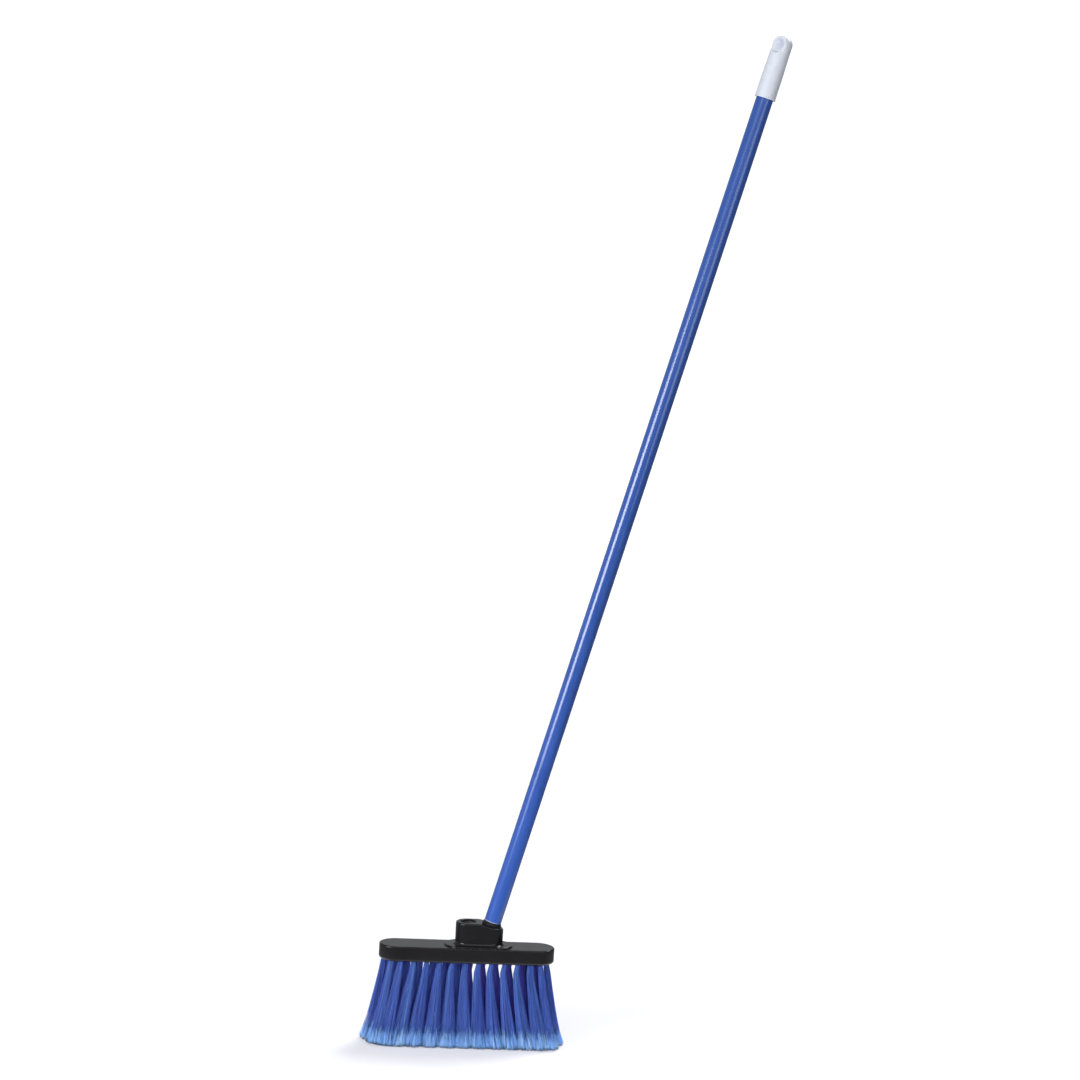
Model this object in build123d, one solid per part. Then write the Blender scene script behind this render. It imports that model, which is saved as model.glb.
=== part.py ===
from build123d import *
import os
from math import sin, cos, tan, radians, hypot

# Floor broom: moulded block with two threaded sockets, tufts of filament held by
# flat wire staples, and a tube handle with a threaded tip and a dished end cap.
# Millimetres. Origin on the floor under the axis of the upright socket,
# +X towards the slanted socket, +Z up.

# ---- block --------------------------------------------------------------
BLOCK_L = 227.0          # overall length
BLOCK_W = 46.0           # overall depth, full round ends
BLOCK_H = 20.0
TRIM = 108.0             # free length of the bristles, floor to block
TOP = TRIM + BLOCK_H
EDGE_TOP = 1.6           # edge rounds of the block
EDGE_BOTTOM = 3.6

# ---- boss with the two sockets -------------------------------------------
PAD_R = 21.2             # low oval pad that carries the boss
PAD_X0, PAD_X1 = -8.5, 37.6
PAD_H = 1.8
BOSS_R = 15.9
BOSS_X1 = 29.9           # centre of the boss's right end
BOSS_H = 31.0            # flat top above the block
FLAT_Z = TOP + BOSS_H
BOSS_EDGE = 1.8
BOSS_FOOT = 4.0          # fillet at the foot of the boss
RIDGE_R = 10.0           # softening between flat and slanted top

# ---- slanted socket and handle axis --------------------------------------
TILT = 15.0              # degrees from upright, leaning to +X
SEAT = (30.35, 0.0, 155.0)    # centre of the slanted seat
AX = (sin(radians(TILT)), 0.0, cos(radians(TILT)))

# ---- broom thread, 3/4 in x 5 per inch trapezoidal -------------------------
PITCH = 5.08
MALE_R, MALE_ROOT = 9.40, 6.90
FEM_R, FEM_ROOT = 7.25, 9.75
FLANK = tan(radians(14.5))
PITCH_R = 8.155
MALE_HALF = 1.15         # half thickness of the rib at the pitch radius
FEM_HALF = 1.41          # half width of the groove there
LEAD_R, LEAD_D = 10.0, 5.0     # plain lead-in at each mouth
LEAD_CH = 0.7
SOCKET_D = 27.0
MALE_LEN = 24.0

# ---- handle ----------------------------------------------------------------
TUBE_R, TUBE_WALL = 11.0, 0.70
COLLAR_R, COLLAR_TOP_R, COLLAR_H = 12.7, 11.3, 5.0   # flared collar
SEAT_GAP = 0.10          # collar over the seat
FIT = 0.05               # plug in tube and tube in cap
PLUG_TOP = 42.0
HANDLE_TOP = 1195.0      # cap's top above the seat along the axis
CAP_L = 81.0
CAP_BORE = 52.0
CAP_R0, CAP_R1 = 13.3, 12.6  # at the mouth, at the shoulder
CAP_LEDGE = 60.6         # step under the two dished flats
CAP_FLAT = 8.0           # flats' distance from the axis
CAP_TURN = 227.0         # direction the near flat faces, degrees about the axis
DISH_Z, DISH_R, DISH_DEPTH = 69.2, 14.0, 2.4

# ---- tufts -----------------------------------------------------------------
HOLE_R, HOLE_D = 3.9, 13.0
TUFT_R = 3.75
TIP_R = 8.7
ROW_Y = 15.0             # front and back rows
ROW_PITCH = 16.8         # front row, one tuft at the middle
BACK_FIRST, BACK_PITCH = 8.7, 17.4   # back row, a gap at the middle
BACK_LEFT = 4.5          # roots of the back row's left half, set towards the middle
ROOT_SHIFT = -1.4        # all roots, against the block's middle
TIP_Y = 23.6             # the rows' tips on the floor
SPREAD = 1.165           # tips' x over roots' x
CORNER = (96.2, 13.2)    # the corner tufts that follow the round ends
CORNER_TIP = (116.2, 19.4)
MID_FIRST, MID_PITCH, MID_END = 8.2, 16.4, 104.9
END_TIP = 124.8          # tips of the two tufts at the very ends
END_TIP_R = 7.4          # corner and end tufts are slimmer
STAPLE = (9.6, 0.5, 2.0) # long, thick, high
STAPLE_UP = 9.6          # lower edge above the block's underside
SLOT_GAP = 0.12


def helix_cut(z0, z1, r_in, r_out, half, flank):
    """Trapezoid swept along the thread's helix about Z; the helix is at angle 0 at z = 0."""
    h_in = half + (PITCH_R - r_in) * flank
    h_out = half + (PITCH_R - r_out) * flank
    path = Edge.make_helix(PITCH, z1 - z0, PITCH_R, center=(0, 0, z0))
    section = Wire.make_polygon(
        [(r_in, 0, z0 - h_in), (r_out, 0, z0 - h_out), (r_out, 0, z0 + h_out), (r_in, 0, z0 + h_in)],
        close=True,
    )
    swept = Solid.sweep(Face(section), path, is_frenet=True)
    return swept.rotate(Axis.Z, 360.0 * z0 / PITCH)


def turned(points):
    """Body of revolution about Z from (radius, height) points."""
    pts = [(r, 0, z) for r, z in points]
    return Solid.revolve(Face(Wire.make_polygon(pts, close=True)), 360.0, Axis.Z)


def slot_plan(x0, x1, r, z):
    """Stadium outline with end centres x0 and x1 on the plane at height z."""
    return Pos((x0 + x1) / 2, 0, z) * SlotCenterToCenter(x1 - x0, 2 * r)


def along(start, tip):
    """Placement whose Z axis runs from start to tip, with X kept close to the row's X."""
    d = Vector(*tip) - Vector(*start)
    d = d.normalized()
    x = Vector(1, 0, 0) - d * d.X
    return Plane(origin=start, x_dir=x.normalized(), z_dir=d).location


HANDLE = Plane(origin=SEAT, x_dir=(cos(radians(TILT)), 0, -sin(radians(TILT))), z_dir=AX).location
UPRIGHT = Location((0, 0, FLAT_Z))

# ---- tuft layout: node name -> (root on the block's underside, tip on the floor, tip radius) --
layout = {}
for row, side in {"front": -1, "back": 1}.items():
    at_x = [ROW_PITCH * i for i in range(-5, 6)]
    if row == "back":
        at_x = [BACK_FIRST + BACK_PITCH * i for i in range(-5, 5)]
    spots = [((x + (BACK_LEFT if row == "back" and x < 0 else 0.0), side * ROW_Y), (x * SPREAD, side * TIP_Y), TIP_R) for x in at_x]
    for way, at in ((-1, 0), (1, len(spots) + 1)):
        spots.insert(at, ((way * CORNER[0], side * CORNER[1]), (way * CORNER_TIP[0], side * CORNER_TIP[1]), END_TIP_R))
    for i, spot in enumerate(spots, 1):
        layout[f"{row}_tuft_{i:02d}"] = spot
half = [(MID_FIRST + MID_PITCH * i, (MID_FIRST + MID_PITCH * i) * SPREAD, TIP_R) for i in range(6)]
half.append((MID_END, END_TIP, END_TIP_R))
spots = [((-x, 0.0), (-t, 0.0), r) for x, t, r in reversed(half)] + [((x, 0.0), (t, 0.0), r) for x, t, r in half]
for i, spot in enumerate(spots, 1):
    layout[f"middle_tuft_{i:02d}"] = spot
layout = {name: ((root[0] + ROOT_SHIFT, root[1]), tip, r) for name, (root, tip, r) in layout.items()}


def tuft_place(root, tip):
    return along((root[0], root[1], TRIM), (tip[0], tip[1], 0.0))


def build_block():
    body = extrude(slot_plan(-BLOCK_L / 2 + BLOCK_W / 2, BLOCK_L / 2 - BLOCK_W / 2, BLOCK_W / 2, TRIM), BLOCK_H)
    body = fillet(body.faces().sort_by(Axis.Z)[-1].edges(), EDGE_TOP)
    body = fillet(body.faces().sort_by(Axis.Z)[0].edges(), EDGE_BOTTOM)

    pad = extrude(slot_plan(PAD_X0, PAD_X1, PAD_R, TOP - 2), PAD_H + 2)
    pad = fillet(pad.faces().sort_by(Axis.Z)[-1].edges(), 0.9)

    boss = extrude(slot_plan(0, BOSS_X1, BOSS_R, TOP - 2), BOSS_H + 2)
    cutter = HANDLE * Pos(0, 0, 20) * Box(120, 80, 40)
    boss = boss - cutter
    ridge = boss.edges().filter_by(Axis.Y).filter_by(lambda e: e.center().Z > FLAT_Z - 0.1)
    boss = fillet(ridge, RIDGE_R)
    top_faces = [f for f in boss.faces() if f.normal_at().Z > 0.9]
    rim = [e for e in boss.edges()
           if e.center().Z > SEAT[2] - 12 and sum(1 for f in top_faces if any(e.is_same(g) for g in f.edges())) == 1]
    boss = fillet(rim, BOSS_EDGE)

    body = body + pad + boss
    foot = [e for e in body.edges() if abs(e.bounding_box().min.Z - (TOP + PAD_H)) < 0.01
            and abs(e.bounding_box().max.Z - (TOP + PAD_H)) < 0.01
            and max(abs(e.bounding_box().min.Y), abs(e.bounding_box().max.Y)) < BOSS_R + 0.1]
    body = fillet(foot, BOSS_FOOT)

    for place in (UPRIGHT, HANDLE):
        plain = turned([
            (0, -SOCKET_D - 1.5), (FEM_R - 1.5, -SOCKET_D - 1.5), (FEM_R, -SOCKET_D), (FEM_R, -LEAD_D),
            (LEAD_R, -LEAD_D), (LEAD_R, -LEAD_CH), (LEAD_R + LEAD_CH, 0), (LEAD_R + LEAD_CH, 8), (0, 8)])
        groove = helix_cut(-SOCKET_D + 2.4, -LEAD_D + 2.1, FEM_R - 0.4, FEM_ROOT, FEM_HALF, FLANK)
        body = body - place * plain
        body = body - place * groove

    for root, tip, _ in layout.values():
        drill = Pos(0, 0, (4.0 - HOLE_D) / 2) * Cylinder(HOLE_R, HOLE_D + 4.0)
        body = body - tuft_place(root, tip) * drill
    return body


def staple_box(grow=0.0):
    l, t, h = STAPLE
    box = Box(l + 2 * grow, t + 2 * grow, h + 2 * grow)
    return Pos(0, 0, -(STAPLE_UP + h / 2)) * box


def build_tuft(root, tip, tip_r):
    length = hypot(hypot(tip[0] - root[0], tip[1] - root[1]), TRIM)
    open_up = tip_r - TUFT_R
    # slim at the block, opening towards the tip
    shape = [(0, -HOLE_D + 0.2), (TUFT_R - 1.2, -HOLE_D + 0.2), (TUFT_R, -HOLE_D + 1.4), (TUFT_R, 2.0),
             (TUFT_R + 0.18 * open_up, 0.25 * length), (TUFT_R + 0.42 * open_up, 0.50 * length),
             (TUFT_R + 0.71 * open_up, 0.76 * length), (tip_r, length), (tip_r, length + 3.2), (0, length + 3.2)]
    solid = tuft_place(root, tip) * turned(shape)
    solid = solid - Pos(tip[0], tip[1], -15) * Box(60, 60, 30)
    solid = solid - tuft_place(root, tip) * staple_box(SLOT_GAP)
    return solid


def build_tip():
    plug = TUBE_R - TUBE_WALL - FIT
    body = turned([
        (0, -MALE_LEN), (MALE_ROOT - 1.0, -MALE_LEN), (MALE_R, -MALE_LEN + 3.6), (MALE_R, SEAT_GAP),
        (COLLAR_R - 0.5, SEAT_GAP), (COLLAR_R, SEAT_GAP + 0.5), (COLLAR_R, SEAT_GAP + 1.4), (COLLAR_TOP_R, COLLAR_H - 0.4), (COLLAR_TOP_R - 0.4, COLLAR_H),
        (plug, COLLAR_H), (plug, PLUG_TOP - 1.2), (plug - 1.2, PLUG_TOP), (6.6, PLUG_TOP), (6.6, 14.0), (0, 10.0)])
    # the space between the ribs is half a pitch from the ribs
    space = helix_cut(-MALE_LEN - 3.2 - PITCH / 2, -3.4 - PITCH / 2, MALE_ROOT, MALE_R + 1.0,
                      PITCH / 2 - MALE_HALF, -FLANK)
    return body - Pos(0, 0, PITCH / 2) * space


def build_tube():
    top = HANDLE_TOP - CAP_L + CAP_BORE - 2.5
    low = COLLAR_H + 0.05
    inner = TUBE_R - TUBE_WALL
    return turned([(inner, low), (TUBE_R - 0.35, low), (TUBE_R, low + 0.5), (TUBE_R, top - 0.35),
                   (TUBE_R - 0.35, top), (inner, top)])


def build_cap():
    z0 = HANDLE_TOP - CAP_L
    bore = TUBE_R + FIT
    with BuildSketch(Plane.XZ) as sk:
        with BuildLine():
            Polyline((0, CAP_BORE), (0, CAP_L), (CAP_R1, CAP_L - 1.2), (CAP_R1, CAP_LEDGE),
                     (CAP_R1 + 0.30, 41.3), (CAP_R1 + 0.48, 40.7), (CAP_R0, 2.4), (CAP_R0 + 0.35, 1.7), (CAP_R0 + 0.35, 0.0),
                     (bore + 0.6, 0.0), (bore, 0.8), (bore, CAP_BORE - 2.0), (bore - 2.0, CAP_BORE), close=True)
        make_face()
        fillet(sk.vertices().filter_by(lambda v: abs(v.X - CAP_R1) < 0.01 and v.Y + v.Z > CAP_L - 2), 9.5)
    body = revolve(sk.sketch, Axis.Z)
    for side in (0, 180):
        off = Pos(CAP_FLAT + 10, 0, CAP_LEDGE + 20) * Box(20, 60, 40)
        body = body - Rot(0, 0, side) * off
    for side in (0, 180):
        dish = Pos(CAP_FLAT - DISH_DEPTH + DISH_R, 0, DISH_Z) * Sphere(DISH_R)
        body = body - Rot(0, 0, side) * dish
    return HANDLE * Pos(0, 0, z0) * Rot(0, 0, CAP_TURN) * body


os.makedirs("parts", exist_ok=True)
made = {"head_block": build_block(), "threaded_tip": HANDLE * build_tip(),
        "handle_tube": HANDLE * build_tube(), "end_cap": build_cap()}
for name, spot in layout.items():
    made[name] = build_tuft(*spot)
for row in ("front", "middle", "back"):
    made[f"{row}_staples"] = Compound(children=[
        tuft_place(root, tip) * staple_box() for name, (root, tip, _) in layout.items() if name.startswith(row)])

for name, shape in made.items():
    export_step(shape, f"parts/{name}.step")
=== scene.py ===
import math

import bpy
import numpy as np
from mathutils import Matrix, Vector


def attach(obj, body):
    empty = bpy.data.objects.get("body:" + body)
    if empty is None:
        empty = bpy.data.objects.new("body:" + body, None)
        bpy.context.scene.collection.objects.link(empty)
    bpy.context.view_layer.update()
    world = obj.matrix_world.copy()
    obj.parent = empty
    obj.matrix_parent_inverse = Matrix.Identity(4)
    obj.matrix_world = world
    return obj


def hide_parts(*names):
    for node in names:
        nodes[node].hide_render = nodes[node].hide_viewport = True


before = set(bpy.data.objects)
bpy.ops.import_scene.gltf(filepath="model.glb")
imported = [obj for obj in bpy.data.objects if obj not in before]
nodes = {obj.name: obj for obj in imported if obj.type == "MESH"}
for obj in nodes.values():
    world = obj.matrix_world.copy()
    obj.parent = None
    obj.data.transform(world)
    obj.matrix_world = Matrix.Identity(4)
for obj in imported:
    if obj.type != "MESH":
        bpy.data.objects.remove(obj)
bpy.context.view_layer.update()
MM = 0.001

# ------------------------------------------------------------------ layout, repeated from the CAD (mm)
TRIM, HOLE_D = 108.0, 13.0
TUFT_R, TIP_R, END_TIP_R = 3.75, 8.7, 7.4
ROW_Y, TIP_Y, FRONT_PITCH, SPREAD = 15.0, 23.6, 16.8, 1.165
BACK_FIRST, BACK_PITCH, BACK_LEFT, ROOT_SHIFT = 8.7, 17.4, 4.5, -1.4
CORNER, CORNER_TIP = (96.2, 13.2), (116.2, 19.4)
MID_FIRST, MID_PITCH, MID_END, MID_END_TIP = 8.2, 16.4, 104.9, 124.8
SEAT = np.array([30.35, 0.0, 155.0])
TILT = math.radians(15.0)
AX = np.array([math.sin(TILT), 0.0, math.cos(TILT)])
TUBE_R, TUBE_IN, TUBE_LOW, TUBE_TOP = 11.0, 10.3, 5.05, 1163.5
ACROSS = np.array([math.cos(TILT), 0.0, -math.sin(TILT)])
FLAT_WAY = math.radians(227.0)
DISH_AT = (SEAT + AX * 1183.2) * MM
DISH_OUT = (ACROSS * math.cos(FLAT_WAY) + np.array([0.0, 1.0, 0.0]) * math.sin(FLAT_WAY)) * 19.6 * MM


# ------------------------------------------------------------------ small node helpers
def new_material(name):
    m = bpy.data.materials.new(name)
    m.use_nodes = True
    nt = m.node_tree
    nt.nodes.clear()
    out = nt.nodes.new("ShaderNodeOutputMaterial")
    bsdf = nt.nodes.new("ShaderNodeBsdfPrincipled")
    nt.links.new(bsdf.outputs["BSDF"], out.inputs["Surface"])
    return m, nt, bsdf


def node(nt, kind, inputs=None, **props):
    n = nt.nodes.new(kind)
    for k, v in props.items():
        setattr(n, k, v)
    for k, v in (inputs or {}).items():
        if isinstance(v, bpy.types.NodeSocket):
            nt.links.new(v, n.inputs[k])
        else:
            n.inputs[k].default_value = v
    return n


def ramp(nt, fac, stops, interpolation="LINEAR"):
    n = nt.nodes.new("ShaderNodeValToRGB")
    n.color_ramp.interpolation = interpolation
    e = n.color_ramp.elements
    while len(e) < len(stops):
        e.new(0.5)
    for el, (p, c) in zip(e, stops):
        el.position = p
        el.color = (*c, 1.0) if len(c) == 3 else c
    nt.links.new(fac, n.inputs["Fac"])
    return n


def grey(v):
    return (v, v, v)


def mix_colour(nt, fac, a, b, blend="MIX"):
    n = nt.nodes.new("ShaderNodeMix")
    n.data_type = "RGBA"
    n.blend_type = blend
    sockets = {"f": n.inputs[0], "a": n.inputs[6], "b": n.inputs[7]}
    for key, v in (("f", fac), ("a", a), ("b", b)):
        if isinstance(v, bpy.types.NodeSocket):
            nt.links.new(v, sockets[key])
        elif key == "f":
            sockets[key].default_value = v
        else:
            sockets[key].default_value = (*v, 1.0)
    return n.outputs[2]


def noise(nt, vector, scale, detail=3.0, roughness=0.55):
    return node(nt, "ShaderNodeTexNoise", {"Vector": vector, "Scale": scale, "Detail": detail, "Roughness": roughness})


def stretched(nt, coords, scale, turn=(0.0, 0.0, 0.0)):
    return node(nt, "ShaderNodeMapping", {"Vector": coords, "Scale": scale, "Rotation": turn}).outputs["Vector"]


# ------------------------------------------------------------------ materials
def edge_mask(nt, radius, low, high):
    """1 along the outer edges of the mesh, 0 on its flats."""
    soft = node(nt, "ShaderNodeBevel", {"Radius": radius}, samples=6).outputs["Normal"]
    true = node(nt, "ShaderNodeNewGeometry").outputs["Normal"]
    same = node(nt, "ShaderNodeVectorMath", {0: soft, 1: true}, operation="DOT_PRODUCT").outputs["Value"]
    return node(nt, "ShaderNodeMapRange", {"Value": same, "From Min": low, "From Max": high, "To Min": 1.0, "To Max": 0.0}).outputs["Result"]


def times(nt, a, b):
    return node(nt, "ShaderNodeMath", {0: a, 1: b}, operation="MULTIPLY").outputs["Value"]


def socket_mask(nt, at):
    """1 on the walls of the upright socket, 0 elsewhere."""
    flat = stretched(nt, at, (1.0, 1.0, 0.0))
    off = node(nt, "ShaderNodeVectorMath", {0: flat}, operation="LENGTH").outputs["Value"]
    wall = node(nt, "ShaderNodeMapRange", {"Value": off, "From Min": 0.0102, "From Max": 0.0107, "To Min": 1.0, "To Max": 0.0}).outputs["Result"]
    high = node(nt, "ShaderNodeSeparateXYZ", {0: at}).outputs["Z"]
    deep = node(nt, "ShaderNodeMapRange", {"Value": high, "From Min": 0.140, "From Max": 0.150, "To Min": 0.0, "To Max": 1.0}).outputs["Result"]
    mouth = node(nt, "ShaderNodeMapRange", {"Value": high, "From Min": 0.1560, "From Max": 0.1572, "To Min": 1.0, "To Max": 0.0}).outputs["Result"]
    return times(nt, wall, times(nt, deep, mouth))


def moulded_black(name, dark, light, grain_scale, rough_low, rough_high, level, sockets=False):
    m, nt, b = new_material(name)
    at = node(nt, "ShaderNodeTexCoord").outputs["Object"]
    cloud = noise(nt, at, 46.0, 4.0)
    flow = noise(nt, stretched(nt, at, (14.0, 60.0, 60.0)), 3.0, 3.0)
    base = ramp(nt, cloud.outputs["Fac"], [(0.25, dark), (0.75, light)]).outputs["Color"]
    rub = noise(nt, stretched(nt, at, (90.0, 420.0, 420.0), (0.0, 0.3, 0.5)), 2.2, 5.0, 0.7)
    rub_mask = ramp(nt, rub.outputs["Fac"], [(0.66, grey(0.0)), (0.80, grey(0.30))]).outputs["Color"]
    base = mix_colour(nt, rub_mask, base, (0.040, 0.040, 0.043))
    # Edges painted lighter in chips: partly wear, partly a painted highlight along the fillets.
    chips = ramp(nt, noise(nt, at, 260.0, 4.0, 0.65).outputs["Fac"], [(0.42, grey(0.0)), (0.66, grey(0.75))]).outputs["Color"]
    pale_edge = times(nt, edge_mask(nt, 0.0011, 0.90, 0.995), chips)
    base = mix_colour(nt, pale_edge, base, (0.055, 0.055, 0.060))
    # Painted light: the walls of the upright socket are painted a lighter grey in streaks, to show a lit inner wall.
    if sockets:
        socket_light_streaks = ramp(nt, noise(nt, stretched(nt, at, (300.0, 300.0, 1500.0)), 1.0, 3.0, 0.6).outputs["Fac"], [(0.30, grey(0.35)), (0.65, grey(1.0))]).outputs["Color"]
        base = mix_colour(nt, times(nt, socket_mask(nt, at), socket_light_streaks), base, (0.085, 0.085, 0.090))
    nt.links.new(base, b.inputs["Base Color"])
    r = ramp(nt, flow.outputs["Fac"], [(0.2, grey(rough_low)), (0.8, grey(rough_high))]).outputs["Color"]
    nt.links.new(mix_colour(nt, pale_edge, r, grey(0.46)), b.inputs["Roughness"])
    b.inputs["Specular IOR Level"].default_value = level
    fine = noise(nt, at, grain_scale, 2.0, 0.6)
    coarse = noise(nt, at, grain_scale * 0.12, 2.0, 0.5)
    b1 = node(nt, "ShaderNodeBump", {"Height": coarse.outputs["Fac"], "Strength": 0.08, "Distance": 0.0006})
    b2 = node(nt, "ShaderNodeBump", {"Height": fine.outputs["Fac"], "Strength": 0.07, "Distance": 0.00018, "Normal": b1.outputs["Normal"]})
    nt.links.new(b2.outputs["Normal"], b.inputs["Normal"])
    return m


def coated_blue(name):
    m, nt, b = new_material(name)
    at = node(nt, "ShaderNodeTexCoord").outputs["Object"]
    along = node(nt, "ShaderNodeVectorMath", {0: at, 1: tuple(AX)}, operation="DOT_PRODUCT").outputs["Value"]
    mottle = noise(nt, stretched(nt, at, (70.0, 70.0, 9.0), (0.0, -TILT, 0.0)), 1.0, 4.0)
    base = ramp(nt, mottle.outputs["Fac"], [(0.25, (0.020, 0.070, 0.300)), (0.75, (0.027, 0.085, 0.345))]).outputs["Color"]
    scuff = noise(nt, stretched(nt, at, (900.0, 900.0, 130.0), (0.0, -TILT, 0.0)), 1.0, 3.0, 0.6)
    scuff_mask = ramp(nt, scuff.outputs["Fac"], [(0.71, grey(0.0)), (0.78, grey(0.40))]).outputs["Color"]
    base = mix_colour(nt, scuff_mask, base, (0.16, 0.25, 0.55))
    # Painted highlight: the lower lip is painted a pale bluish grey, partly bare metal and partly a glint that is
    # strongest on the left and fades to the right.
    low = float(AX @ SEAT) * MM + (TUBE_LOW + 0.9) * MM
    rim = node(nt, "ShaderNodeMapRange", {"Value": along, "From Min": low - 0.0004, "From Max": low + 0.0002, "To Min": 1.0, "To Max": 0.0})
    across = node(nt, "ShaderNodeVectorMath", {0: at, 1: (math.cos(TILT), 0.0, -math.sin(TILT))}, operation="DOT_PRODUCT").outputs["Value"]
    middle = float(SEAT[0] * math.cos(TILT) - SEAT[2] * math.sin(TILT)) * MM
    rim_metal_and_glint = node(nt, "ShaderNodeMapRange", {"Value": across, "From Min": middle - 0.006, "From Max": middle + 0.007, "To Min": 1.0, "To Max": 0.12})
    rim_metal_and_glint = times(nt, rim.outputs["Result"], rim_metal_and_glint.outputs["Result"])
    pale_edge = noise(nt, at, 700.0, 2.0)
    pale_edge = ramp(nt, pale_edge.outputs["Fac"], [(0.3, (0.42, 0.46, 0.60)), (0.7, (0.62, 0.65, 0.74))]).outputs["Color"]
    nt.links.new(mix_colour(nt, rim_metal_and_glint, base, pale_edge), b.inputs["Base Color"])
    rr = ramp(nt, mottle.outputs["Fac"], [(0.2, grey(0.15)), (0.8, grey(0.21))]).outputs["Color"]
    nt.links.new(mix_colour(nt, scuff_mask, rr, grey(0.50)), b.inputs["Roughness"])
    b.inputs["Specular IOR Level"].default_value = 0.5
    peel = noise(nt, at, 420.0, 2.0, 0.5)
    draw = noise(nt, stretched(nt, at, (1500.0, 1500.0, 25.0), (0.0, -TILT, 0.0)), 1.0, 2.0)
    b1 = node(nt, "ShaderNodeBump", {"Height": peel.outputs["Fac"], "Strength": 0.04, "Distance": 0.0005})
    b2 = node(nt, "ShaderNodeBump", {"Height": draw.outputs["Fac"], "Strength": 0.03, "Distance": 0.0002, "Normal": b1.outputs["Normal"]})
    nt.links.new(b2.outputs["Normal"], b.inputs["Normal"])
    return m


def moulded_white(name):
    m, nt, b = new_material(name)
    at = node(nt, "ShaderNodeTexCoord").outputs["Object"]
    cloud = noise(nt, at, 90.0, 4.0)
    base = ramp(nt, cloud.outputs["Fac"], [(0.25, (0.59, 0.63, 0.71)), (0.75, (0.66, 0.69, 0.765))]).outputs["Color"]
    speck = noise(nt, at, 900.0, 3.0, 0.6)
    speck_mask = ramp(nt, speck.outputs["Fac"], [(0.70, grey(0.0)), (0.80, grey(0.25))]).outputs["Color"]
    base = mix_colour(nt, speck_mask, base, (0.45, 0.47, 0.52))
    edge_patches = ramp(nt, noise(nt, at, 220.0, 4.0, 0.65).outputs["Fac"], [(0.30, grey(0.30)), (0.60, grey(0.95))]).outputs["Color"]
    # Painted shade: the two dished flats are painted darker and lavender, most towards their middle.
    for way in (-1.0, 1.0):
        reach = node(nt, "ShaderNodeVectorMath", {0: at, 1: tuple(DISH_AT + way * DISH_OUT)}, operation="DISTANCE").outputs["Value"]
        dish = node(nt, "ShaderNodeMapRange", {"Value": reach, "From Min": 0.01405, "From Max": 0.01450, "To Min": 1.0, "To Max": 0.0}).outputs["Result"]
        floor = node(nt, "ShaderNodeVectorMath", {0: at, 1: tuple(DISH_AT + way * DISH_OUT * (5.6 / 19.6) + AX * 1.5 * MM)}, operation="DISTANCE").outputs["Value"]
        dish_shade = node(nt, "ShaderNodeMapRange", {"Value": floor, "From Min": 0.0025, "From Max": 0.0085, "To Min": 0.90, "To Max": 0.05}).outputs["Result"]
        base = mix_colour(nt, times(nt, dish, dish_shade), base, (0.48, 0.50, 0.62))
    # Edges painted near white in patches: partly wear, partly a painted highlight along the rims and the lip.
    pale_edge = times(nt, edge_mask(nt, 0.0011, 0.90, 0.995), edge_patches)
    nt.links.new(mix_colour(nt, pale_edge, base, (0.84, 0.86, 0.90)), b.inputs["Base Color"])
    r = ramp(nt, cloud.outputs["Fac"], [(0.2, grey(0.36)), (0.8, grey(0.46))]).outputs["Color"]
    nt.links.new(mix_colour(nt, pale_edge, r, grey(0.60)), b.inputs["Roughness"])
    b.inputs["Specular IOR Level"].default_value = 0.40
    fine = noise(nt, at, 1300.0, 2.0)
    wave = noise(nt, at, 160.0, 2.0)
    b1 = node(nt, "ShaderNodeBump", {"Height": wave.outputs["Fac"], "Strength": 0.07, "Distance": 0.0006})
    b2 = node(nt, "ShaderNodeBump", {"Height": fine.outputs["Fac"], "Strength": 0.08, "Distance": 0.00015, "Normal": b1.outputs["Normal"]})
    nt.links.new(b2.outputs["Normal"], b.inputs["Normal"])
    return m


def bright_wire(name):
    m, nt, b = new_material(name)
    at = node(nt, "ShaderNodeTexCoord").outputs["Object"]
    n1 = noise(nt, stretched(nt, at, (300.0, 4000.0, 4000.0)), 1.0, 3.0)
    nt.links.new(ramp(nt, n1.outputs["Fac"], [(0.3, (0.42, 0.42, 0.43)), (0.7, (0.60, 0.60, 0.61))]).outputs["Color"], b.inputs["Base Color"])
    nt.links.new(ramp(nt, n1.outputs["Fac"], [(0.3, grey(0.30)), (0.7, grey(0.42))]).outputs["Color"], b.inputs["Roughness"])
    b.inputs["Metallic"].default_value = 1.0
    bump = node(nt, "ShaderNodeBump", {"Height": n1.outputs["Fac"], "Strength": 0.2, "Distance": 0.00005})
    nt.links.new(bump.outputs["Normal"], b.inputs["Normal"])
    return m


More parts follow.
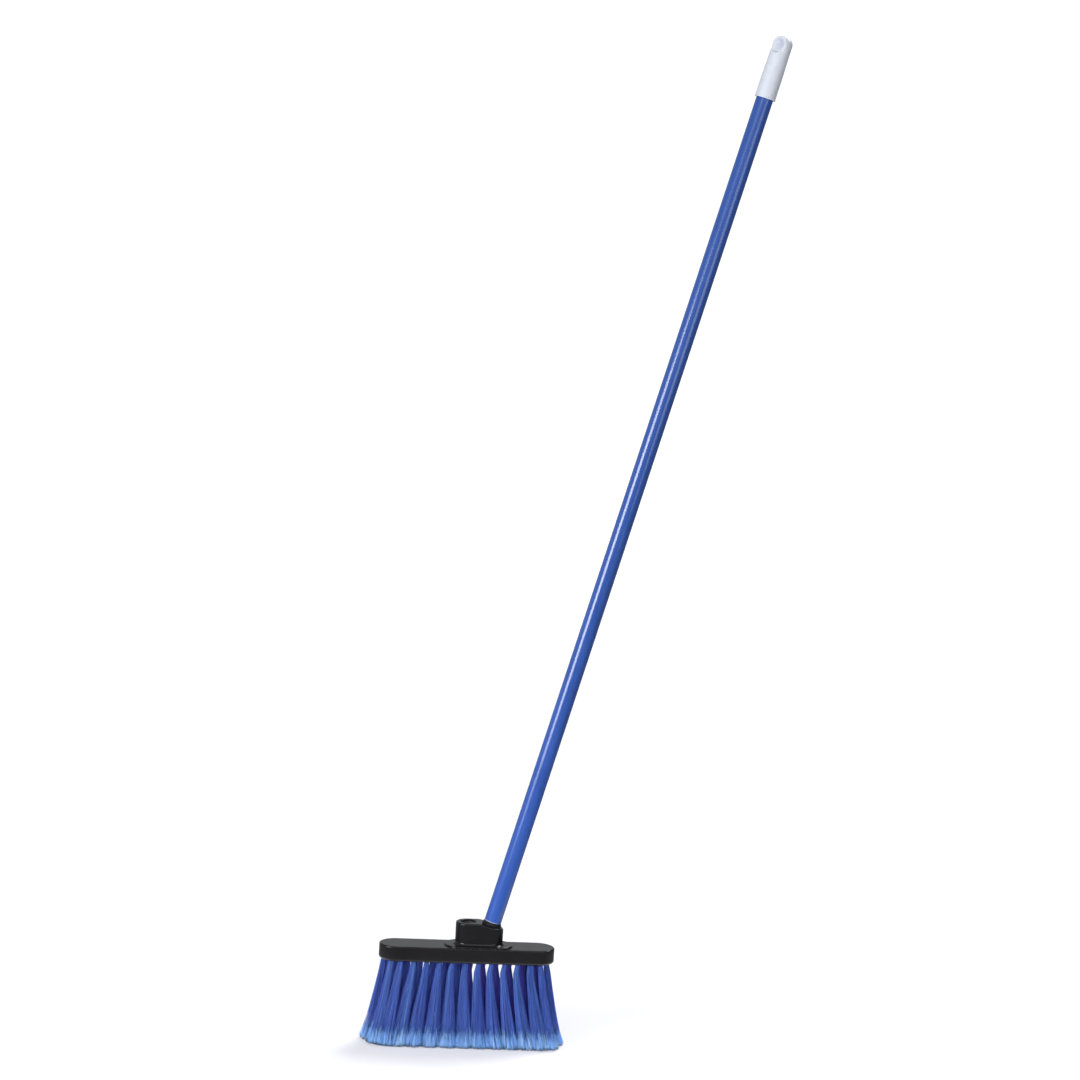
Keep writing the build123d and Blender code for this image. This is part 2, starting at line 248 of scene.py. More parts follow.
def filament(name):
    m, nt, b = new_material(name)
    tone_and_shade = node(nt, "ShaderNodeAttribute", attribute_name="tone_and_shade").outputs["Fac"]
    run = node(nt, "ShaderNodeAttribute", attribute_name="run").outputs["Fac"]
    place = node(nt, "ShaderNodeCombineXYZ", {"X": times(nt, tone_and_shade, 38.0), "Y": times(nt, run, 24.0)}).outputs["Vector"]
    streak = noise(nt, place, 1.0, 3.0, 0.6).outputs["Fac"]
    # The colour darkens and turns violet towards a high tone_and_shade value; the painted shade inside the brush uses
    # that end.
    near = ramp(nt, tone_and_shade, [
        (0.00, (0.092, 0.246, 0.555)),
        (0.30, (0.051, 0.124, 0.447)),
        (0.60, (0.044, 0.089, 0.425)),
        (0.80, (0.051, 0.068, 0.425)),
        (1.00, (0.056, 0.063, 0.385)),
    ]).outputs["Color"]
    low = ramp(nt, tone_and_shade, [
        (0.00, (0.092, 0.234, 0.572)),
        (0.30, (0.051, 0.119, 0.468)),
        (0.60, (0.041, 0.084, 0.432)),
        (1.00, (0.046, 0.049, 0.392)),
    ]).outputs["Color"]
    body = mix_colour(nt, ramp(nt, run, [(0.18, grey(0.0)), (0.60, grey(1.0))], "EASE").outputs["Color"], near, low)
    pale = ramp(nt, tone_and_shade, [
        (0.00, (0.430, 0.685, 0.930)),
        (0.50, (0.180, 0.445, 0.895)),
        (1.00, (0.040, 0.185, 0.720)),
    ]).outputs["Color"]
    # fade: share of the pale tip colour; its drop at the very end back to body colour is painted shade. shade: painted
    # shade just under the block and at the very ends of the tips, a dark line along the bottom edge.
    fade = ramp(nt, run, [(0.00, grey(0.0)), (0.800, grey(0.0)), (0.862, grey(0.72)), (0.94, grey(1.0)), (0.975, grey(1.0)), (1.0, grey(0.45))], "EASE").outputs["Color"]
    shade = ramp(nt, run, [(0.00, grey(0.72)), (0.035, grey(1.0)), (0.966, grey(1.0)), (0.981, grey(0.66)), (0.992, grey(0.24)), (1.0, grey(0.15))]).outputs["Color"]
    vary = ramp(nt, streak, [(0.25, grey(0.74)), (0.72, grey(1.0))]).outputs["Color"]
    col = mix_colour(nt, fade, body, pale)
    col = mix_colour(nt, 1.0, col, shade, "MULTIPLY")
    col = mix_colour(nt, 1.0, col, vary, "MULTIPLY")
    nt.links.new(col, b.inputs["Base Color"])
    gloss = ramp(nt, run, [(0.0, grey(0.36)), (0.80, grey(0.42)), (0.90, grey(0.58)), (1.0, grey(0.66))]).outputs["Color"]
    nt.links.new(gloss, b.inputs["Roughness"])
    b.inputs["Specular IOR Level"].default_value = 0.35
    bump = node(nt, "ShaderNodeBump", {"Height": streak, "Strength": 0.10, "Distance": 0.00004})
    nt.links.new(bump.outputs["Normal"], b.inputs["Normal"])
    return m


MAT_BLOCK = moulded_black("block_plastic", (0.0046, 0.0046, 0.0053), (0.0076, 0.0076, 0.0085), 1500.0, 0.16, 0.24, 0.28, True)
MAT_TIP = moulded_black("tip_plastic", (0.0050, 0.0050, 0.0056), (0.0090, 0.0090, 0.0098), 1900.0, 0.34, 0.44, 0.18)
MAT_TUBE = coated_blue("tube_coating")
MAT_CAP = moulded_white("cap_plastic")
MAT_WIRE = bright_wire("staple_wire")
MAT_BRISTLE = filament("bristle")


def dress(obj, material):
    obj.data.materials.clear()
    obj.data.materials.append(material)


dress(nodes["head_block"], MAT_BLOCK)
dress(nodes["threaded_tip"], MAT_TIP)
dress(nodes["end_cap"], MAT_CAP)
for row in ("front", "middle", "back"):
    dress(nodes[row + "_staples"], MAT_WIRE)


# ------------------------------------------------------------------ mesh from arrays
def mesh_object(name, verts, quads, tris, material, uv_of_vertex=None, point_values=None):
    me = bpy.data.meshes.new(name)
    nq, ntr = len(quads), len(tris)
    loops = np.concatenate([np.asarray(quads, np.int32).ravel(), np.asarray(tris, np.int32).ravel()])
    starts = np.concatenate([np.arange(nq) * 4, nq * 4 + np.arange(ntr) * 3]).astype(np.int32)
    me.vertices.add(len(verts))
    me.vertices.foreach_set("co", np.asarray(verts, np.float32).ravel())
    me.loops.add(len(loops))
    me.loops.foreach_set("vertex_index", loops)
    me.polygons.add(nq + ntr)
    me.polygons.foreach_set("loop_start", starts)
    me.update(calc_edges=True)
    me.polygons.foreach_set("use_smooth", np.ones(nq + ntr, bool))
    for key, values in (point_values or {}).items():
        a = me.attributes.new(key, "FLOAT", "POINT")
        a.data.foreach_set("value", np.asarray(values, np.float32))
    if uv_of_vertex is not None:
        layer = me.uv_layers.new(name="OFBake")
        layer.data.foreach_set("uv", np.asarray(uv_of_vertex, np.float32)[loops].ravel())
    me.update()
    me.materials.append(material)
    o = bpy.data.objects.new(name, me)
    bpy.context.scene.collection.objects.link(o)
    return o


# ------------------------------------------------------------------ the tube: a turned, closed shell with rolled lips
def turned_tube():
    seg = 96
    lip = 0.33
    outer = [(TUBE_R, z) for z in np.linspace(TUBE_LOW + 0.9, TUBE_TOP - 0.6, 58)]
    low_lip = [(TUBE_IN + 0.35 + lip * math.sin(a) * 1.06, TUBE_LOW + lip - lip * math.cos(a)) for a in np.linspace(-1.45, 1.45, 9)]
    low_lip[-1] = (TUBE_R - 0.01, TUBE_LOW + lip)
    top_lip = [(TUBE_R - 0.01, TUBE_TOP - lip), (TUBE_R - 0.12, TUBE_TOP - 0.06), (TUBE_R - 0.35, TUBE_TOP), (TUBE_IN + 0.12, TUBE_TOP - 0.06), (TUBE_IN, TUBE_TOP - lip)]
    inner = [(TUBE_IN, z) for z in np.linspace(TUBE_TOP - 1.2, TUBE_LOW + 0.9, 30)]
    profile = low_lip + outer + top_lip + inner
    across = ACROSS
    side = np.array([0.0, 1.0, 0.0])
    ang = np.arange(seg) * 2 * math.pi / seg
    ring = np.cos(ang)[:, None] * across + np.sin(ang)[:, None] * side
    verts = np.concatenate([SEAT + AX * z + ring * r for r, z in profile]) * MM
    k = len(profile)
    quads = []
    for i in range(k):
        j = (i + 1) % k
        for s in range(seg):
            t = (s + 1) % seg
            quads.append((i * seg + s, i * seg + t, j * seg + t, j * seg + s))
    return mesh_object("coated_tube", verts, quads, np.zeros((0, 3), int), MAT_TUBE)


tube = turned_tube()
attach(tube, "handle")
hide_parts("handle_tube")


# ------------------------------------------------------------------ bristle tufts
FAN_TIP = 1.21


def ease(a, b, x):
    t = np.clip((x - a) / (b - a), 0.0, 1.0)
    return t * t * (3.0 - 2.0 * t)


def opening(s, row, x, last):
    """How far a bundle has opened at share s of its length."""
    if last:
        return 1.35 * s - 0.35 * s * s
    return ease(0.07, 0.85, s) if row != "front" and 0.0 < x < 66.0 else s


def root_fan(row, x):
    """How wide a bundle leaves its hole."""
    slack = 0.0 < x < 66.0
    if row == "front":
        return 3.45 if abs(x) > 78.0 else 2.80 if slack else 3.00
    return (3.05 if slack else 3.55) if row == "middle" else (2.60 if slack else 3.60)


SET_AT = (-108.0, -98.0, -86.0, -64.0, -40.0, -18.0, 27.0, 66.0, 84.0, 96.0, 105.0)
SET_NEAR = (0.0, 0.0, 0.2, 0.3, -0.8, -2.0, -3.2, -3.6, -2.4, 1.5, 0.8)
SET_FAR = (1.6, 0.0, -5.0, -8.2, -5.0, -1.2, 1.0, 2.4, 0.6, -1.6, -2.0)
SET_OUT = (8.0, 8.0, 7.6, 7.4, 7.4, 7.4, 7.4, 7.4, 7.6, 7.6, 7.6)
BACK_AT = (-98.0, -75.0, -57.0, -40.0, -23.0, -5.0, 7.0, 60.0, 77.0, 95.0)
BACK_NEAR = (0.0, -1.9, -1.7, 0.2, 0.9, 0.9, -2.6, -3.4, 0.0, 1.2)
BACK_FAR = (3.0, -5.5, -2.5, 1.0, 1.6, 1.0, 0.6, 2.2, 4.5, -4.0)


def lie(root, s):
    """The set that the filaments have taken, away from straight: along the block, and outwards in the outer rows."""
    near, far = np.interp(root[0], SET_AT, SET_NEAR), np.interp(root[0], SET_AT, SET_FAR)
    if root[1] > 5.0:
        near, far = np.interp(root[0], BACK_AT, BACK_NEAR), np.interp(root[0], BACK_AT, BACK_FAR)
    soon = 0.05 if root[1] < -5.0 else 0.12 if root[1] > 5.0 else 0.08
    out = np.interp(root[0], SET_AT, SET_OUT) * (-1.0 if root[1] < -5.0 else 0.6 if root[1] > 5.0 else -0.2)
    return (near * ease(0.0, soon, s) * (1.0 - s) + far * s) * np.array([1.0, 0.0]) + out * s * s * np.array([0.0, 1.0])


def lean(s):
    return 0.80 * s + 0.20 * s * s


OUT_X, OUT_Y, OUT_R = 133.0, 40.0, 36.0


def inside_by(x, y):
    qx, qy = np.abs(x) - (OUT_X - OUT_R), np.abs(y) - (OUT_Y - OUT_R)
    far = np.hypot(np.maximum(qx, 0.0), np.maximum(qy, 0.0)) + np.minimum(np.maximum(qx, qy), 0.0)
    return OUT_R - far


def trim_height(x, y):
    end = ease(88.0, 126.0, np.abs(x))
    reach = 6.0 + 9.0 * end
    high = 0.5 + np.where(x < 0.0, 3.0, 1.2) * end
    d = np.clip(inside_by(x, y), 0.0, None)
    u = np.clip((reach - d) / reach, 0.0, 1.0)
    return high * (1.0 - np.sqrt(np.clip(1.0 - u * u, 0.0, 1.0)))


def strands(paths, radii, turn):
    """Closed three-sided strands. paths (n, k, 3), radii (n, k), turn (n,)."""
    n, k, _ = paths.shape
    corner = turn[:, None] + np.array([0.0, 2.0944, 4.1888])[None, :]
    ring = np.stack([np.cos(corner), np.sin(corner), np.zeros_like(corner)], -1)
    verts = paths[:, :, None, :] + radii[:, :, None, None] * ring[:, None, :, :]
    index = np.arange(n * k * 3).reshape(n, k, 3)
    nxt = index[:, :, [1, 2, 0]]
    quads = np.stack([index[:, :-1], index[:, 1:], nxt[:, 1:], nxt[:, :-1]], -1).reshape(-1, 4)
    caps = np.concatenate([index[:, 0, :], index[:, -1, ::-1]])
    return verts.reshape(-1, 3), quads, caps


def held(y):
    """The bundles lean on each other, so the outer edge of the fringe is nearly straight."""
    over = np.maximum(np.abs(y) - 40.0, 0.0)
    return np.sign(y) * (np.minimum(np.abs(y), 40.0) + 3.6 * np.tanh(over / 3.6))


def tuft(name, order, root, tip, tip_r):
    row = name.split("_")[0]
    rng = np.random.default_rng(7100 + order)
    n = 176
    k = np.arange(n)
    rr = np.sqrt((k + 0.5) / n)
    th = k * 2.399963 + rng.normal(0.0, 0.10, n)
    unit = np.stack([rr * np.cos(th), rr * np.sin(th)], -1)
    groups = 24
    gr = np.sqrt((np.arange(groups) + 0.5) / groups)
    gt = np.arange(groups) * 2.399963 + rng.uniform(0, 6.28)
    centre = np.stack([gr * np.cos(gt), gr * np.sin(gt)], -1) * 0.92
    own = np.argmin(((unit[:, None, :] - centre[None]) ** 2).sum(-1), 1)
    tip_unit = unit * 0.64 + centre[own] * 0.36 + rng.normal(0.0, 0.045, (n, 2))
    loose = np.where(rng.uniform(0, 1, n) < 0.12, rng.uniform(1.04, 1.24, n), 1.0)
    start = unit * root_fan(row, root[0])
    last = tip_r < 8.0
    if last:
        shape = np.array([1.0, 2.05 if row == "middle" else 1.55])
    else:
        shape = np.array([1.0, 1.0] if row == "middle" else [1.10, 0.84])
    fan_tip = (1.15 if root[0] < 0.0 else 1.06) if last else FAN_TIP
    end = tip_unit * shape * (tip_r * fan_tip - 0.30) * loose[:, None]
    root, tip = np.asarray(root, float), np.asarray(tip, float)
    sway = rng.normal(0.0, 0.65, 2)
    axis_dir = np.array([*(tip - root), -TRIM])
    axis_dir /= np.linalg.norm(axis_dir)
    away = np.clip(unit @ ((tip - root) / (np.hypot(*(tip - root)) + 1e-9)), 0.0, 1.0)
    out_dir = (tip - root) / (np.hypot(*(tip - root)) + 1e-9)
    edge = ease(40.0, 3.0, np.full(n, 1.0) * inside_by(*tip))
    flick = (1.2 * edge * away)[:, None] * out_dir[None] + np.array([0.8 if last else 1.2, 0.5]) * unit
    bend = rng.normal(0.0, 0.32, (n, 2))
    phase = rng.uniform(0, 6.28, (n, 2))

    def flat(s):
        """Sideways place of every strand at share s of its length."""
        s = s[..., None]
        mid = root + (tip - root) * lean(s) + sway * np.sin(math.pi * np.clip(s, 0, 1)) * 0.8 + lie(root, s)
        share = opening(s, row, root[0], last)
        off = start[:, None, :] * (1 - share) + end[:, None, :] * share
        curl = np.clip((s - 0.66) / 0.34, 0.0, 1.1) ** 2 * flick[:, None, :]
        wave = bend[:, None, :] * np.sin(math.pi * 1.4 * s + phase[:, None, :]) * np.clip(s * 3.0, 0.0, 1.0)
        place = mid + off + curl + wave
        return np.stack([place[..., 0], held(place[..., 1])], -1)

    ones = np.ones((n, 1))
    at_end = flat(ones)[:, 0]
    low = trim_height(at_end[:, 0], at_end[:, 1]) + 0.20 + np.abs(rng.normal(0.0, 0.40, n))
    split = 0.835 + rng.normal(0.0, 0.022, n)
    steps = np.linspace(0.0, 1.0, 8)[None, :] ** 1.0
    s_main = steps * split[:, None]
    xy = flat(s_main)
    z = TRIM * (1 - s_main) + low[:, None] * s_main
    path = np.concatenate([xy, z[..., None]], -1)
    hidden = path[:, 0, :] - axis_dir[None] * (HOLE_D - 0.6)
    path = np.concatenate([hidden[:, None, :], path], 1)
    s_all = np.concatenate([np.zeros((n, 1)), s_main], 1)
    thick = rng.uniform(0.23, 0.29, n)
    radii = thick[:, None] * (1.0 - 0.10 * s_all)
    radii[:, -1] *= 0.62
    turn = rng.uniform(0, 6.28, n)
    v1, q1, c1 = strands(path, radii, turn)

    hairs = 5
    hs = np.linspace(0.0, 1.0, 5)
    fan = turn[:, None] + np.arange(hairs)[None] * (2.0 * math.pi / hairs) + rng.normal(0.0, 0.35, (n, hairs))
    width = rng.uniform(0.45, 1.25, (n, hairs))
    s_h = (split[:, None] - 0.012) + (1.0 - split[:, None] + 0.012) * hs[None, :]
    core = flat(s_h)
    grow = hs ** 1.25
    ripple = 0.12 * np.sin(hs[None, None, :] * 9.0 + rng.uniform(0, 6.28, (n, hairs, 1))) * hs[None, None, :]
    spread = (width[..., None] * grow[None, None, :] + ripple + 0.06)[..., None] * np.stack([np.cos(fan), np.sin(fan)], -1)[:, :, None, :]
    hxy = core[:, None, :, :] + spread
    hxy[..., 1] = held(hxy[..., 1])
    tip_z = trim_height(hxy[:, :, -1, 0], hxy[:, :, -1, 1]) + 0.12 + np.abs(rng.normal(0.0, 0.40, (n, hairs)))
    begin = (TRIM * (1 - s_h[:, 0]) + low * s_h[:, 0])[:, None]
    hz = begin[..., None] * (1 - hs) + tip_z[..., None] * hs
    hpath = np.concatenate([hxy, hz[..., None]], -1).reshape(n * hairs, 5, 3)
    hrad = (thick[:, None] * rng.uniform(0.46, 0.60, (n, hairs))).reshape(-1, 1) * np.linspace(1.0, 0.60, 5)[None]
    v2, q2, c2 = strands(hpath, hrad, rng.uniform(0, 6.28, n * hairs))

    # Painted shade: strands deep inside the brush get a darker, more violet colour, ambient occlusion painted into the
    # colour.
    half = flat(np.full((n, 1), 0.5))[:, 0]
    wide = 1.0 - 0.145 * 0.5
    depth = inside_by(half[:, 0] / wide, half[:, 1] * (OUT_Y / 23.0))
    deep = ease(2.0, 17.0, depth)
    group_tint = rng.uniform(0.0, 1.0, groups)
    if abs(root[0]) > 95.0:
        deep = deep * 0.25
    first = 0.02 + 0.30 * deep - 0.06 * ease(40.0, 90.0, root[0])
    # Painted shade: the middle row's tufts on the right half are painted darker, where the front row shades them. Outer
    # rows are a little lighter towards the right end.
    if row == "middle":
        first = 0.30 * deep + 0.42 * ease(100.0, 80.0, root[0]) if root[0] > 0.0 else 0.14
    # Painted shade: strands at the edge of each clump are a little darker; the group value adds random tone.
    rim = np.clip(np.hypot(*(unit - centre[own]).T) / 0.20, 0.0, 1.0) ** 2
    tone_and_shade = np.clip(first - 0.07 + 0.16 * rim + 0.26 * group_tint[own] + 0.38 * rng.uniform(0, 1, n), 0.0, 1.0)
    delay = rng.normal(0.0, 0.028, n) + 0.095 * (rng.uniform(0, 1, groups)[own] - 0.5)
    run1 = np.clip(s_all - delay[:, None], 0.0, 1.0)
    run2 = np.clip(s_h - delay[:, None] * (1.0 - hs[None, :] ** 2), 0.0, 1.0)
    t1 = np.repeat(np.repeat(tone_and_shade[:, None], 9, 1)[:, :, None], 3, 2)
    r1 = np.repeat(run1[:, :, None], 3, 2)
    t2 = np.repeat(np.repeat(np.repeat(tone_and_shade[:, None], hairs, 1).reshape(-1, 1), 5, 1)[:, :, None], 3, 2)
    r2 = np.repeat(np.repeat(run2[:, None, :], hairs, 1).reshape(-1, 5)[:, :, None], 3, 2)
    shift = np.array([-0.012, 0.0, 0.012])
    u1 = 0.03 + 0.94 * t1 + shift
    u2 = 0.03 + 0.94 * t2 + shift
    uv = np.concatenate([
        np.stack([u1.ravel(), (0.02 + 0.96 * r1).ravel()], -1),
        np.stack([u2.ravel(), (0.02 + 0.96 * r2).ravel()], -1),
    ])
    verts = np.concatenate([v1, v2])
    verts[:, 2] = np.maximum(verts[:, 2], 0.05)
    quads = np.concatenate([q1, q2 + len(v1)])
    tris = np.concatenate([c1, c2 + len(v1)])
    o = mesh_object(
        name + "_bristles", verts * MM, quads, tris, MAT_BRISTLE, uv,
        {"tone_and_shade": np.concatenate([t1.ravel(), t2.ravel()]), "run": np.concatenate([r1.ravel(), r2.ravel()])},
    )
    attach(o, "head")
    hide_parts(name)
    return o


def tuft_places():
    for row, side in (("front", -1.0), ("back", 1.0)):
        if row == "front":
            xs = [FRONT_PITCH * i for i in range(-5, 6)]
        else:
            xs = [BACK_FIRST + BACK_PITCH * i for i in range(-5, 5)]
        spots = [((x + (BACK_LEFT if row == "back" and x < 0 else 0.0), side * ROW_Y), (x * SPREAD, side * TIP_Y), TIP_R) for x in xs]
        left = ((-CORNER[0], side * CORNER[1]), (-CORNER_TIP[0], side * CORNER_TIP[1]), END_TIP_R)
        right = ((CORNER[0], side * CORNER[1]), (CORNER_TIP[0], side * CORNER_TIP[1]), END_TIP_R)
        for i, spot in enumerate([left] + spots + [right]):
            yield f"{row}_tuft_{i + 1:02d}", spot
    half = [(MID_FIRST + MID_PITCH * i, (MID_FIRST + MID_PITCH * i) * SPREAD, TIP_R) for i in range(6)]
    half.append((MID_END, MID_END_TIP, END_TIP_R))
    full = [(-a, -b, r) for a, b, r in reversed(half)] + half
    for i, (a, b, r) in enumerate(full):
        yield f"middle_tuft_{i + 1:02d}", ((a, 0.0), (b, 0.0), r)


for order, (name, (root, tip, r)) in enumerate(tuft_places()):
    tuft(name, order, (root[0] + ROOT_SHIFT, root[1]), tip, r)


# ------------------------------------------------------------------ stage and light
def stage_mesh(name, verts, faces, material):
    me = bpy.data.meshes.new(name)
    me.from_pydata(verts, [], faces)
    me.update()
    me.materials.append(material)
    o = bpy.data.objects.new(name, me)
    bpy.context.scene.collection.objects.link(o)
    return o


def disc(radius, z, n=96):
    ring = [(radius * math.cos(2 * math.pi * i / n), radius * math.sin(2 * math.pi * i / n), z) for i in range(n)]
    return ring, [tuple(range(n))]


def only_for(o, camera):
    """A stage surface that either the camera sees, or that throws light back on the object."""
    o.visible_camera = camera
    o.visible_diffuse = not camera
    o.visible_glossy = not camera
    o.visible_transmission = not camera
    o.visible_shadow = False


def stage_material(name, low, high, glow=None):
    m = bpy.data.materials.new(name)
    m.use_nodes = True
    nt = m.node_tree
    nt.nodes.clear()
    out = nt.nodes.new("ShaderNodeOutputMaterial")
    at = node(nt, "ShaderNodeTexCoord").outputs["Object"]
    c = ramp(nt, noise(nt, at, 3.0, 2.0).outputs["Fac"], [(0.3, low), (0.7, high)]).outputs["Color"]
    surface = node(nt, "ShaderNodeBsdfDiffuse", {"Color": c}).outputs[0]
    if glow:
        far = node(nt, "ShaderNodeVectorMath", {0: at}, operation="LENGTH").outputs["Value"]
        share = node(nt, "ShaderNodeMapRange", {"Value": far, "From Min": 0.8, "From Max": 5.0}).outputs["Result"]
        lit = ramp(nt, share, [(0.0, glow[0]), (1.0, glow[1])]).outputs["Color"]
        e = node(nt, "ShaderNodeEmission", {"Color": lit, "Strength": 1.0})
        add = nt.nodes.new("ShaderNodeAddShader")
        nt.links.new(surface, add.inputs[0])
        nt.links.new(e.outputs[0], add.inputs[1])
        surface = add.outputs[0]
    clear = node(nt, "ShaderNodeBsdfTransparent")
    back = node(nt, "ShaderNodeNewGeometry").outputs["Backfacing"]
    mix = nt.nodes.new("ShaderNodeMixShader")
    nt.links.new(back, mix.inputs[0])
    nt.links.new(surface, mix.inputs[1])
    nt.links.new(clear.outputs[0], mix.inputs[2])
    nt.links.new(mix.outputs[0], out.inputs["Surface"])
    m.cycles.emission_sampling = "NONE"
    return m


def table_material():
    """Pale around the head, and darker further out, where the black block mirrors it; near the head it also glows, a
    hidden light that brightens the bristles from below.
    """
    m = bpy.data.materials.new("studio_table")
    m.use_nodes = True
    nt = m.node_tree
    nt.nodes.clear()
    out = nt.nodes.new("ShaderNodeOutputMaterial")
    at = node(nt, "ShaderNodeTexCoord").outputs["Object"]
    far = node(nt, "ShaderNodeVectorMath", {0: stretched(nt, at, (0.6, 1.0, 0.0))}, operation="LENGTH").outputs["Value"]
    c = ramp(nt, far, [(0.14, grey(0.88)), (0.40, grey(0.18)), (1.0, grey(0.18))]).outputs["Color"]
    table_glow = ramp(nt, far, [(0.07, grey(0.95)), (0.30, grey(0.0)), (1.0, grey(0.0))]).outputs["Color"]
    lit = nt.nodes.new("ShaderNodeAddShader")
    nt.links.new(node(nt, "ShaderNodeBsdfDiffuse", {"Color": c}).outputs[0], lit.inputs[0])
    nt.links.new(node(nt, "ShaderNodeEmission", {"Color": table_glow, "Strength": 1.0}).outputs[0], lit.inputs[1])
    surface = lit.outputs[0]
    clear = node(nt, "ShaderNodeBsdfTransparent")
    back = node(nt, "ShaderNodeNewGeometry").outputs["Backfacing"]
    mix = nt.nodes.new("ShaderNodeMixShader")
    nt.links.new(back, mix.inputs[0])
    nt.links.new(surface, mix.inputs[1])
    nt.links.new(clear.outputs[0], mix.inputs[2])
    nt.links.new(mix.outputs[0], out.inputs["Surface"])
    m.cycles.emission_sampling = "NONE"
    return m


def backdrop_material():
    m = bpy.data.materials.new("studio_backdrop")
    m.use_nodes = True
    nt = m.node_tree
    nt.nodes.clear()
    out = nt.nodes.new("ShaderNodeOutputMaterial")
    at = node(nt, "ShaderNodeTexCoord").outputs["Object"]
    c = ramp(nt, noise(nt, at, 0.05, 1.0).outputs["Fac"], [(0.3, grey(1.08)), (0.7, grey(1.12))]).outputs["Color"]
    e = node(nt, "ShaderNodeEmission", {"Color": c, "Strength": 1.0})
    nt.links.new(e.outputs[0], out.inputs["Surface"])
    m.cycles.emission_sampling = "NONE"
    return m


def dome(radius, rings=24, sides=48):
    verts = [(0.0, 0.0, -radius)]
    for i in range(1, rings):
        a = -math.pi / 2 + math.pi * i / rings
        for k in range(sides):
            b = 2 * math.pi * k / sides
            verts.append((radius * math.cos(a) * math.cos(b), radius * math.cos(a) * math.sin(b), radius * math.sin(a)))
    verts.append((0.0, 0.0, radius))
    faces = [(0, 1 + (k + 1) % sides, 1 + k) for k in range(sides)]
    for i in range(rings - 2):
        for k in range(sides):
            a, b = 1 + i * sides + k, 1 + i * sides + (k + 1) % sides
            faces.append((a, b, b + sides, a + sides))
    last, top = 1 + (rings - 2) * sides, len(verts) - 1
    faces += [(last + k, last + (k + 1) % sides, top) for k in range(sides)]
    return verts, faces


only_for(stage_mesh("studio_backdrop", *dome(60.0), backdrop_material()), True)
only_for(stage_mesh("studio_floor", *disc(59.0, -0.0002), stage_material("studio_floor", (0.54, 0.54, 0.545), (0.56, 0.56, 0.565), ((0.340, 0.346, 0.370), (0.62, 0.62, 0.62)))), True)
only_for(stage_mesh("studio_table", *disc(59.0, -0.0004), table_material()), False)

world = bpy.data.worlds.new("studio")
bpy.context.scene.world = world
world.use_nodes = True
wt = world.node_tree
wt.nodes.clear()
w_out = wt.nodes.new("ShaderNodeOutputWorld")
w_bg = wt.nodes.new("ShaderNodeBackground")
w_dir = node(wt, "ShaderNodeTexCoord").outputs["Generated"]
w_up = node(wt, "ShaderNodeSeparateXYZ", {0: w_dir}).outputs["Z"]
w_pos = node(wt, "ShaderNodeMapRange", {"Value": w_up, "From Min": -0.1, "From Max": 0.9})
w_col = ramp(wt, w_pos.outputs["Result"], [
    (0.00, (0.52, 0.53, 0.55)),
    (0.35, (0.52, 0.53, 0.55)),
    (0.48, (0.35, 0.36, 0.38)),
    (0.60, (0.22, 0.23, 0.25)),
    (0.90, (0.30, 0.31, 0.33)),
    (1.00, (0.34, 0.35, 0.37)),
]).outputs["Color"]
w_side = node(wt, "ShaderNodeVectorMath", {0: w_dir, 1: (0.999, 0.04, 0.0)}, operation="DOT_PRODUCT").outputs["Value"]
w_dark = ramp(wt, w_side, [(0.40, grey(1.0)), (0.68, grey(0.04))]).outputs["Color"]
wt.links.new(mix_colour(wt, 1.0, w_col, w_dark, "MULTIPLY"), w_bg.inputs["Color"])
w_bg.inputs["Strength"].default_value = 1.0
wt.links.new(w_bg.outputs[0], w_out.inputs["Surface"])


def aim(o, place, target):
    o.location = place
    o.rotation_euler = (Vector(target) - Vector(place)).to_track_quat("-Z", "Y").to_euler()


def area(name, place, target, size_x, size_y, watts, spread=180.0, colour=(1.0, 1.0, 1.0)):
    data = bpy.data.lights.new(name, "AREA")
    data.shape = "RECTANGLE"
    data.size, data.size_y = size_x, size_y
    data.energy = watts
    data.spread = math.radians(spread)
    data.color = colour
    o = bpy.data.objects.new(name, data)
    bpy.context.scene.collection.objects.link(o)
    o.visible_camera = False
    aim(o, place, target)
    return o


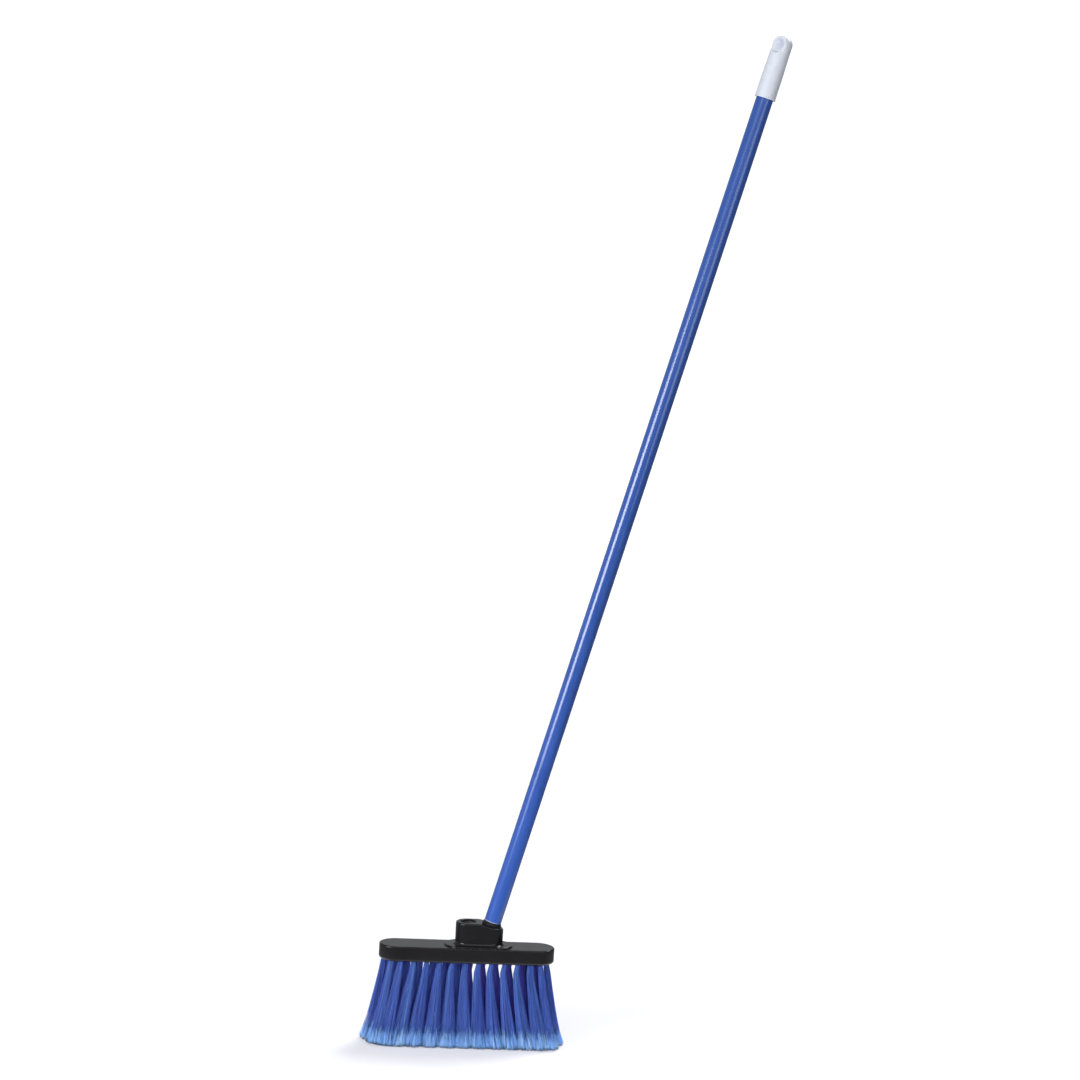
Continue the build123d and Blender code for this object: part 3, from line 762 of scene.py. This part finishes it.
sun = bpy.data.lights.new("back_right_sun", "SUN")
sun.energy = 2.9
sun.angle = math.radians(30.0)
sun.color = (1.0, 0.995, 0.985)
sun_o = bpy.data.objects.new("back_right_sun", sun)
sun_o.visible_glossy = False
bpy.context.scene.collection.objects.link(sun_o)
az, el = math.radians(48.0), math.radians(49.0)
aim(sun_o, (math.cos(az) * math.cos(el) * 5, math.sin(az) * math.cos(el) * 5, math.sin(el) * 5), (0.0, 0.0, 0.0))

area("front_box", (-0.20, -2.60, 2.35), (0.05, 0.0, 0.15), 3.6, 1.4, 38.0)
area("left_box", (-2.65, -2.08, 1.075), (0.0, 0.0, 0.10), 1.8, 1.06, 25.5, 90.0)
area("right_panel", (1.54, -2.21, 0.70), (0.17, 0.0, 0.70), 1.4, 0.9, 12.4)
fill = area("low_fill", (-0.20, -3.00, 0.55), (0.0, 0.0, 0.06), 0.9, 0.4, 0.60, 24.0, (1.0, 0.70, 1.0))
fill.visible_glossy = False
for name, place in (("back_kick", (2.76, 2.82, 4.56)), ("right_kick", (4.34, 1.15, 4.14))):
    area(name, place, (0.03, 0.0, 0.13), 1.4, 1.4, 95.0).visible_diffuse = False

# ------------------------------------------------------------------ camera
yaw, pitch, roll = math.radians(-4.998), math.radians(6.8), math.radians(3.156)
fwd = Vector((-math.sin(yaw) * math.cos(pitch), math.cos(yaw) * math.cos(pitch), -math.sin(pitch)))
right = Vector((math.cos(yaw), math.sin(yaw), 0.0))
up = right.cross(fwd)
r2 = math.cos(roll) * right + math.sin(roll) * up
u2 = -math.sin(roll) * right + math.cos(roll) * up
cam = bpy.data.cameras.new("photo_camera")
cam.sensor_fit = "HORIZONTAL"
cam.sensor_width = 36.0
cam.lens = 99.683
cam.clip_start, cam.clip_end = 0.05, 300.0
cam_o = bpy.data.objects.new("photo_camera", cam)
bpy.context.scene.collection.objects.link(cam_o)
place = Vector((-0.264169, -3.770809, 1.110269))
cam_o.matrix_world = Matrix((
    (r2.x, u2.x, -fwd.x, place.x),
    (r2.y, u2.y, -fwd.y, place.y),
    (r2.z, u2.z, -fwd.z, place.z),
    (0.0, 0.0, 0.0, 1.0),
))
bpy.context.scene.camera = cam_o
bpy.context.scene.view_settings.view_transform = "Standard"
bpy.context.scene.view_settings.look = "None"
